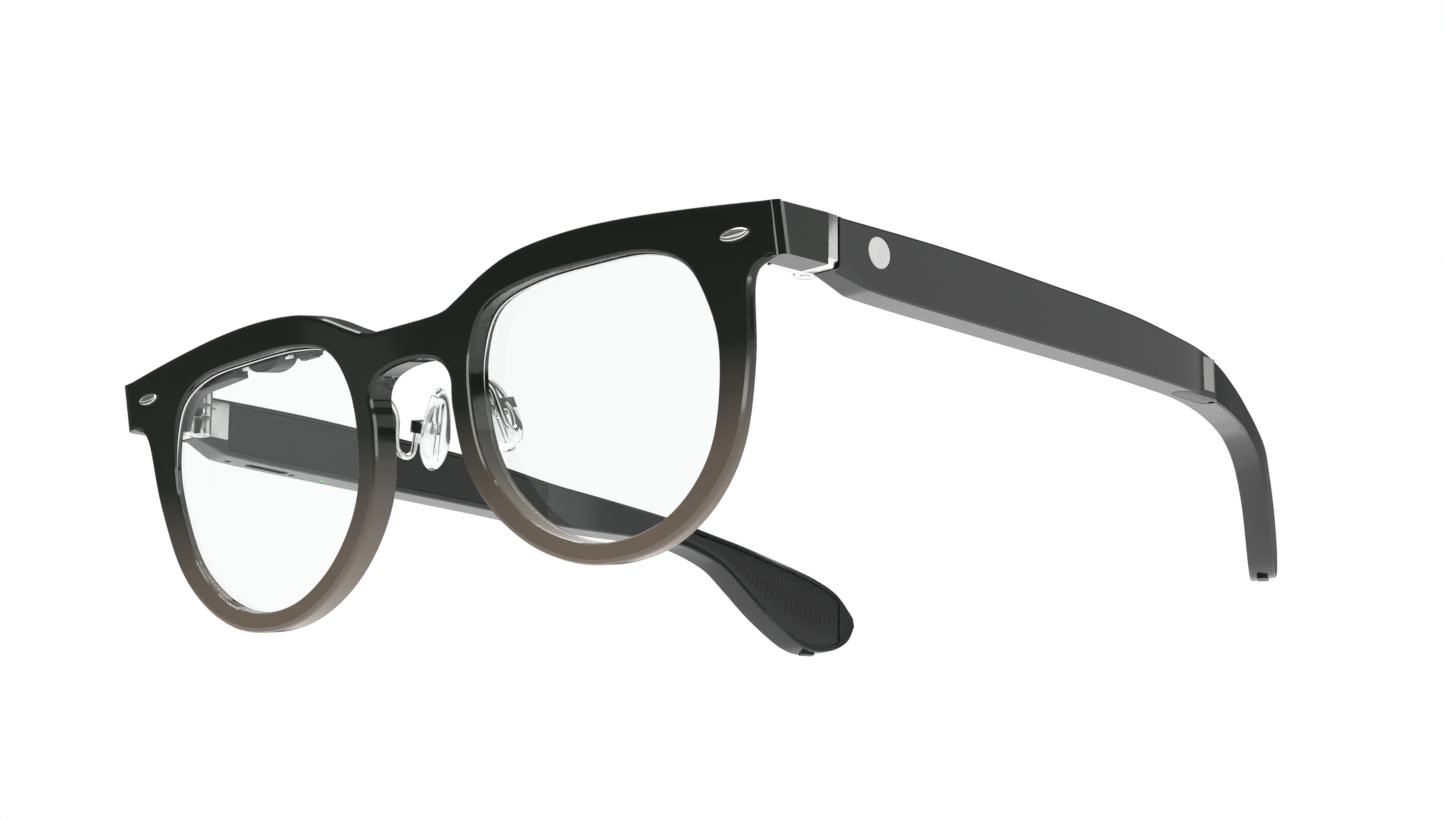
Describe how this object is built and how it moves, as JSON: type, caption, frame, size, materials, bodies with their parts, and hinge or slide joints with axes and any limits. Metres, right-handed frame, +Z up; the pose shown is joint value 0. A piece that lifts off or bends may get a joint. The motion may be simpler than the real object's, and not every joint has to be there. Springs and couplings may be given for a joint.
{
  "type": "smart glasses",
  "caption": "Smart glasses with a thick front, folding temples that hold the electronics, adjustable nose pads and a small display behind one lens.",
  "frame": {"origin": "middle of the bounding box's base, on the table that the rims and the temple tips stand on", "axes": "+Y runs from the front back along the temples, +Z up, +X towards the wearer's left"},
  "size_m": [0.1508, 0.1531, 0.0498],
  "materials": {
    "front_acetate": "polished acetate, dark above and smoky brown below",
    "lens": "clear, coated",
    "bright_steel": "bright satin",
    "fine_steel": "bright wire",
    "clear_silicone": "clear soft silicone",
    "display_plastic": "satin",
    "eyepiece": "coated glass",
    "dial_plastic": "ribbed satin",
    "temple_plastic": "glossy dark grey",
    "cover_plastic": "satin grey",
    "emblem_metal": "polished",
    "battery_pouch": "foil",
    "board": "solder mask",
    "speaker_body": "satin",
    "black_mesh": "matt",
    "core_steel": "plain",
    "grip_rubber": "ribbed matt",
    "tab_plastic": "matt",
    "light_green": "clear green lens",
    "key_plastic": "satin",
    "socket_steel": "plain"
  },
  "bodies": {
    "front": {"front_frame": "front_acetate", "lens_right": "lens", "lens_left": "lens", "rivets": "bright_steel", "hinge_plate_right": "bright_steel", "hinge_plate_left": "bright_steel", "hinge_pin_right": "bright_steel", "hinge_pin_left": "bright_steel", "pad_arm_right": "fine_steel", "pad_arm_left": "fine_steel", "pad_box_right": "fine_steel", "pad_box_left": "fine_steel", "pad_screw_right": "fine_steel", "pad_screw_left": "fine_steel", "display_housing": "display_plastic", "display_rail": "fine_steel"},
    "nose_pad_right": {"nose_pad_right": "clear_silicone"},
    "nose_pad_left": {"nose_pad_left": "clear_silicone"},
    "display_slider": {"display_carriage": "display_plastic", "display_optic": "eyepiece"},
    "focus_dial": {"display_dial": "dial_plastic"},
    "temple_right": {"temple_shell_right": "temple_plastic", "temple_cover_right": "cover_plastic", "temple_knuckle_right": "bright_steel", "emblem_right": "emblem_metal", "battery_right": "battery_pouch", "circuit_board_right": "board", "speaker_right": "speaker_body", "speaker_grille_right": "black_mesh", "tip_core_right": "core_steel", "tip_grip_right": "grip_rubber", "tip_tab_right": "tab_plastic", "microphones": "black_mesh", "status_light": "light_green", "key_switch": "socket_steel"},
    "temple_left": {"temple_shell_left": "temple_plastic", "temple_cover_left": "cover_plastic", "temple_knuckle_left": "bright_steel", "emblem_left": "emblem_metal", "battery_left": "battery_pouch", "circuit_board_left": "board", "speaker_left": "speaker_body", "speaker_grille_left": "black_mesh", "tip_core_left": "core_steel", "tip_grip_left": "grip_rubber", "tip_tab_left": "tab_plastic", "charging_socket": "socket_steel"},
    "control_key": {"control_key": "key_plastic"},
    "port_plug": {"port_plug": "key_plastic"}
  },
  "joints": [
    {"name": "fold_left", "type": "hinge", "parent": "front", "child": "temple_left", "pos_m": [0.0689, -0.06071, 0.04154], "axis": [0, 0.1215, 0.9926], "range_deg": [0, 83]},
    {"name": "fold_right", "type": "hinge", "parent": "front", "child": "temple_right", "pos_m": [-0.0689, -0.06071, 0.04154], "axis": [0, 0.1215, 0.9926], "range_deg": [-83, 0]},
    {"name": "pad_tilt_left", "type": "hinge", "parent": "front", "child": "nose_pad_left", "pos_m": [0.0092, -0.06502, 0.0285], "axis": [0.2301, 0.9639, 0.1343], "range_deg": [-9, 9]},
    {"name": "pad_tilt_right", "type": "hinge", "parent": "front", "child": "nose_pad_right", "pos_m": [-0.0092, -0.06502, 0.0285], "axis": [-0.2301, 0.9639, 0.1343], "range_deg": [-9, 9]},
    {"name": "display_slide", "type": "slide", "parent": "front", "child": "display_slider", "axis": [1, 0, 0], "range_m": [-0.0025, 0.0025]},
    {"name": "focus_turn", "type": "hinge", "parent": "front", "child": "focus_dial", "pos_m": [-0.0285, -0.07029, 0.04416], "axis": [1, 0, 0], "range_deg": [-150, 150]},
    {"name": "key_press", "type": "slide", "parent": "temple_right", "child": "control_key", "axis": [0, -0.1215, -0.9926], "range_m": [0, 0.00035], "stiffness_N_per_m": 800},
    {"name": "plug_pull", "type": "slide", "parent": "temple_left", "child": "port_plug", "axis": [0, -0.1215, -0.9926], "range_m": [0, 0.006]}
  ]
}
